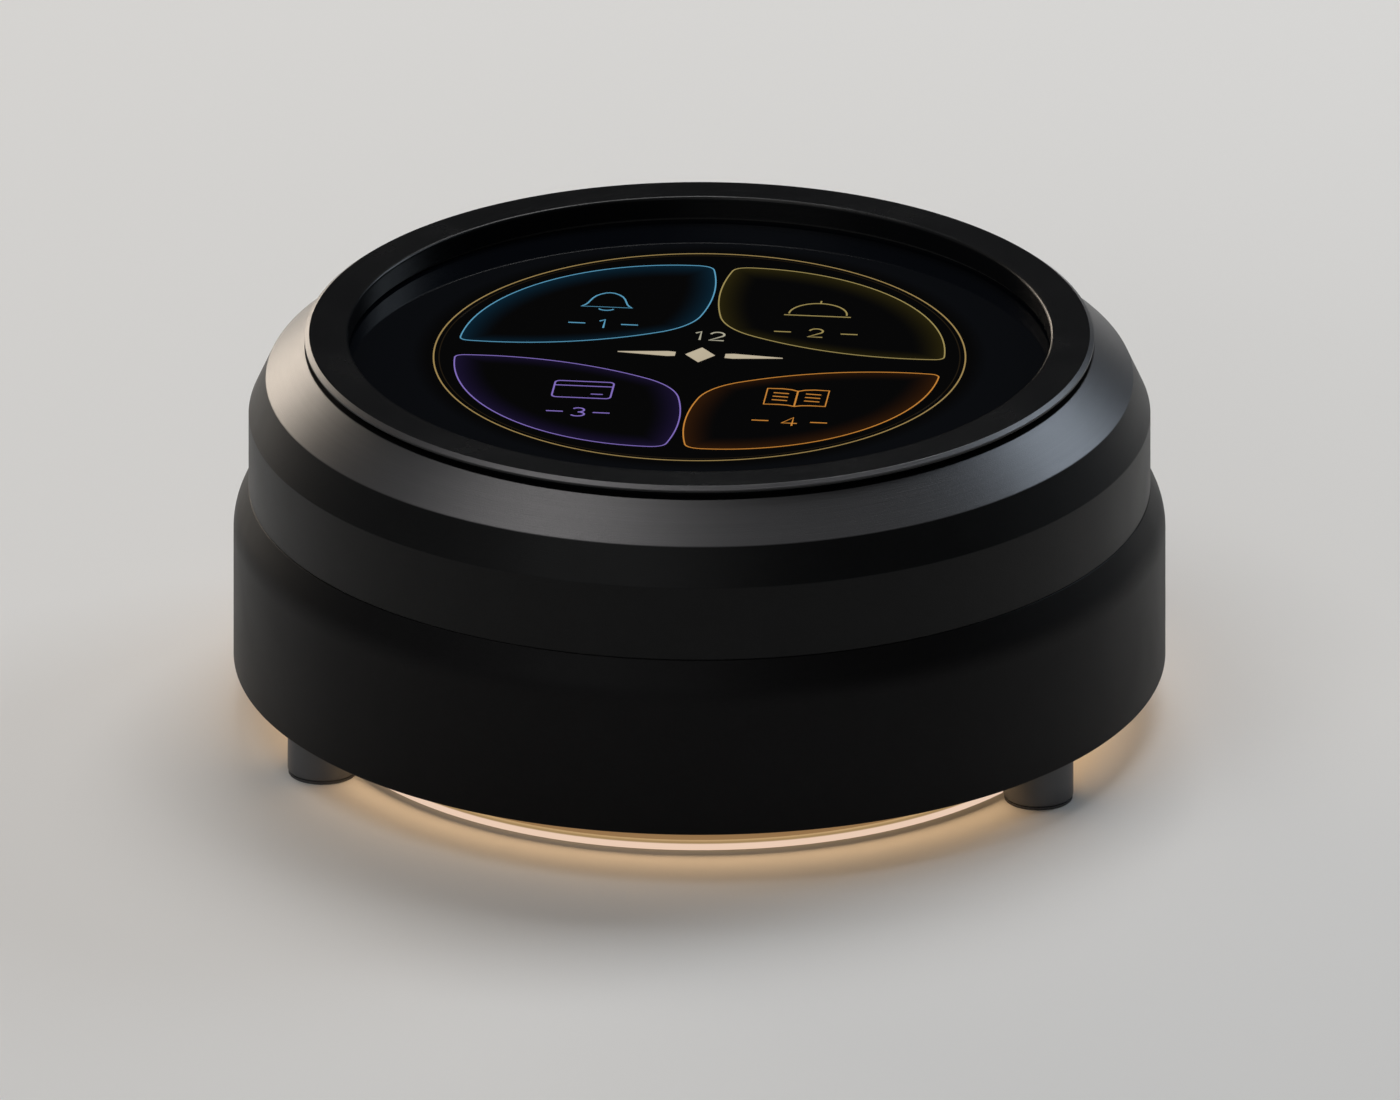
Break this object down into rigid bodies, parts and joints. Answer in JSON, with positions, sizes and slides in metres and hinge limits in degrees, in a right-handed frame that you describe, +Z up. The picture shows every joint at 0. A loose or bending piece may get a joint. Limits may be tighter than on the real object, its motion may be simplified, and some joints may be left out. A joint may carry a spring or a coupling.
{
  "type": "table call button",
  "caption": "Round table call button: a display top that clicks down in a stepped black body on short feet, with a light ring underneath and a charging socket at the back.",
  "frame": {"origin": "on the table under the middle of the body, where its axis meets the plane that the foot pads stand on", "axes": "+Z up along the body's axis; +Y to the back, towards the charging socket, which is also the top of what the display shows; +X to the right of a guest who reads it"},
  "size_m": [0.0932, 0.0932, 0.0402],
  "materials": {
    "ring_black": "fine satin black anodised",
    "casing_black": "fine satin black anodised",
    "lower_black": "fine satin black anodised",
    "base_black": "moulded black, fine texture",
    "carrier_black": "moulded black",
    "cover_glass": "polished, dark tinted",
    "touch_film": "clear film",
    "display_black": "black glossy display",
    "black_rubber": "black, matt",
    "grey_foam": "closed-cell foam",
    "steel": "bright steel",
    "black_steel": "black oxide",
    "spring_steel": "drawn wire",
    "shell_steel": "stamped, bright",
    "can_steel": "tinned can",
    "brass": "turned brass",
    "board_green": "green solder mask",
    "board_white": "white solder mask",
    "moulded_black": "moulded black",
    "moulded_cream": "moulded cream",
    "plunger_white": "moulded off-white",
    "slider_grey": "moulded grey",
    "reset_grey": "moulded grey",
    "switch_steel": "stamped",
    "battery_silver": "silver pouch",
    "lead_red": "red insulation",
    "lead_white": "white insulation",
    "cable_amber": "amber flexible circuit",
    "channel_white": "warm white, moulded",
    "lamp_yellow": "lit lamps",
    "diffuser_warm": "lit milky diffuser",
    "foot_grey": "satin grey anodised"
  },
  "bodies": {
    "housing": {"return_springs": "spring_steel", "display_cable": "cable_amber", "upper_casing": "casing_black", "guide_bushes": "brass", "switch_board": "board_green", "switch_board_screws": "steel", "click_switches": "moulded_black", "casing_seal": "black_rubber", "lower_casing": "lower_black", "main_board": "board_green", "processor_module": "can_steel", "board_chips": "moulded_black", "cable_connector": "moulded_cream", "board_headers": "moulded_black", "buzzer": "moulded_black", "board_standoffs": "brass", "board_screws": "steel", "charging_socket": "shell_steel", "socket_insert": "moulded_black", "battery": "battery_silver", "battery_pad": "grey_foam", "battery_lead": "lead_red", "light_lead": "lead_white", "lead_sockets": "moulded_cream", "control_board": "board_green", "power_switch": "switch_steel", "reset_switch": "moulded_black", "base_plate": "base_black", "casing_screws": "black_steel", "light_channel": "channel_white", "light_board": "board_white", "light_leds": "lamp_yellow", "light_diffuser": "diffuser_warm", "feet": "foot_grey", "foot_pads": "black_rubber", "foot_screws": "steel"},
    "display_unit": {"bezel_ring": "ring_black", "glass_gasket": "black_rubber", "cover_glass": "cover_glass", "touch_film": "touch_film", "display_panel": "display_black", "display_foam": "grey_foam", "display_carrier": "carrier_black", "retaining_clip": "steel", "stop_washers": "steel", "stop_screws": "steel"},
    "plungers": {"switch_plungers": "plunger_white"},
    "power_slide_knob": {"power_slider": "slider_grey"},
    "reset_knob": {"reset_button": "reset_grey"}
  },
  "joints": [
    {"name": "display_press", "type": "slide", "parent": "housing", "child": "display_unit", "axis": [0, 0, -1], "range_m": [0, 0.0005], "stiffness_N_per_m": 2000, "springref_m": -0.00075, "deforming": ["return_springs", "display_cable"]},
    {"name": "plunger_press", "type": "slide", "parent": "housing", "child": "plungers", "axis": [0, 0, -1], "range_m": [0, 0.0005]},
    {"name": "power_slide", "type": "slide", "parent": "housing", "child": "power_slide_knob", "axis": [1, 0, 0], "range_m": [0, 0.002]},
    {"name": "reset_press", "type": "slide", "parent": "housing", "child": "reset_knob", "axis": [0, 0, 1], "range_m": [0, 0.0003], "stiffness_N_per_m": 1500, "springref_m": -0.0003}
  ],
  "couplings": [
    {"joint": "plunger_press", "follows": "display_press", "ratio": 1}
  ]
}
